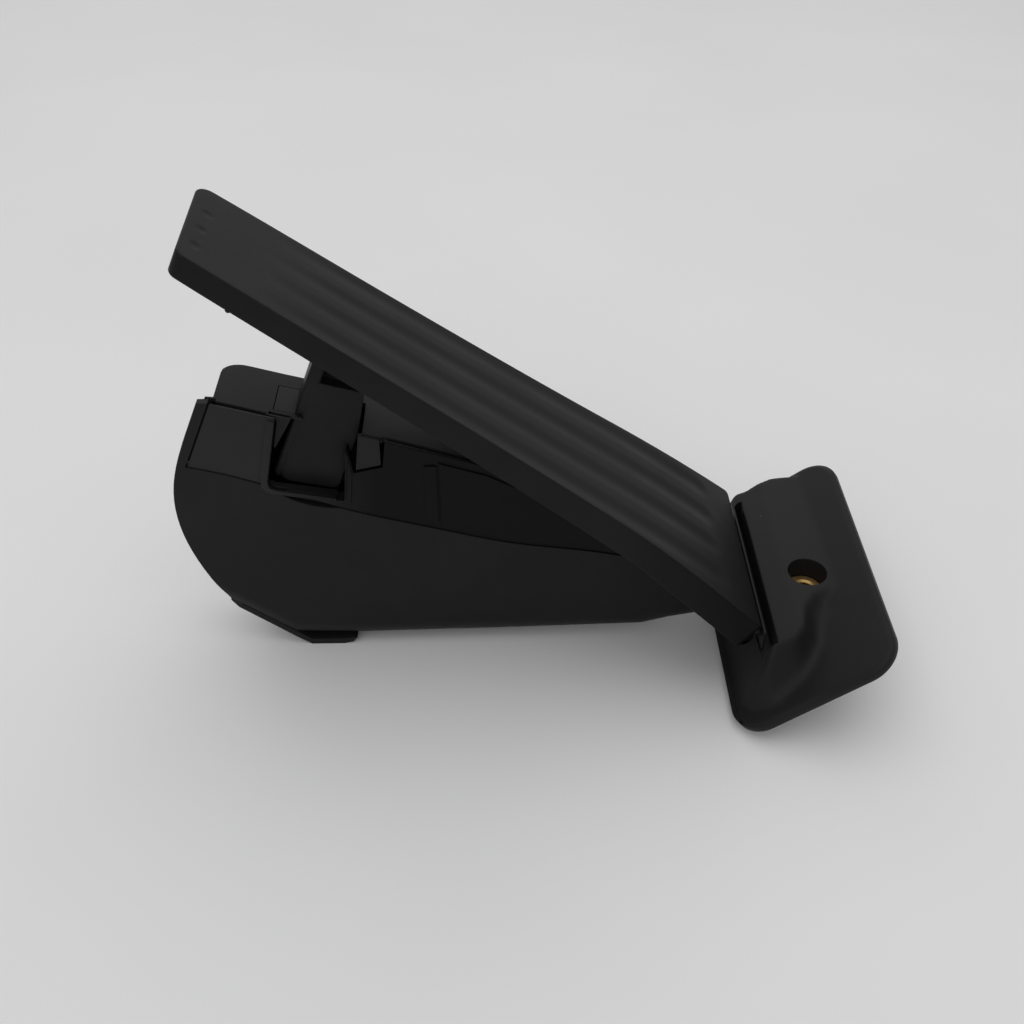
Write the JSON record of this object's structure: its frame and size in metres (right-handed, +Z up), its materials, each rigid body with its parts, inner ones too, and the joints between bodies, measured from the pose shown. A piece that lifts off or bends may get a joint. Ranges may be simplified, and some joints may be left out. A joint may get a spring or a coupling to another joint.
{
  "type": "accelerator pedal",
  "caption": "Floor-mounted electronic accelerator pedal: a grooved pedal plate hinged on a bolt-down heel plate works a sprung lever in a black housing with a position sensor.",
  "frame": {"origin": "middle of the part's length and width, on the floor that its foot, bolt boss and heel edge stand on", "axes": "+X from the housing towards the heel plate, +Z up, -Y the side with the lever's notch"},
  "size_m": [0.209, 0.0984, 0.1474],
  "materials": {
    "housing_plastic": "fine moulded grain, satin black",
    "pedal_plastic": "fine moulded grain, satin black",
    "cover_plastic": "matt black",
    "lever_plastic": "satin black",
    "hinge_plastic": "satin black",
    "sensor_plastic": "matt black",
    "bearing_plastic": "natural acetal",
    "brass": "turned brass, dulled",
    "steel": "bright steel",
    "magnet": "dark sintered ring",
    "rubber": "soft black rubber",
    "board": "green solder mask"
  },
  "bodies": {
    "housing": {"base_housing": "housing_plastic", "heel_bolt_bush": "brass", "hinge_strip": "hinge_plastic", "sensor_housing": "housing_plastic", "top_cover": "cover_plastic", "near_shaft_bush": "bearing_plastic", "far_shaft_bush": "bearing_plastic", "thrust_washer": "bearing_plastic", "spring_seat": "bearing_plastic", "outer_return_spring": "steel", "inner_return_spring": "steel", "stop_buffer": "rubber", "cover_seal": "rubber", "sensor_cover": "sensor_plastic", "circuit_board": "board", "connector_terminals": "brass", "cover_screws": "steel"},
    "pedal": {"pedal_plate": "pedal_plastic"},
    "lever": {"sensor_lever": "lever_plastic", "glide_pad": "bearing_plastic", "lever_shaft": "steel", "rotor_magnet": "magnet", "spring_saddle": "bearing_plastic"}
  },
  "joints": [
    {"name": "pedal_hinge", "type": "hinge", "parent": "housing", "child": "pedal", "pos_m": [0.0626, 0, 0.0234], "axis": [0, -1, 0], "range_deg": [0, 8]},
    {"name": "lever_pivot", "type": "hinge", "parent": "housing", "child": "lever", "pos_m": [-0.004, 0.0055, 0.052], "axis": [0, -1, 0], "range_deg": [0, 15.9], "stiffness_Nm_per_rad": 2, "springref_deg": -11.46, "deforming": ["outer_return_spring", "inner_return_spring"]}
  ],
  "couplings": [
    {"joint": "lever_pivot", "follows": "pedal_hinge", "ratio": 1.977}
  ]
}
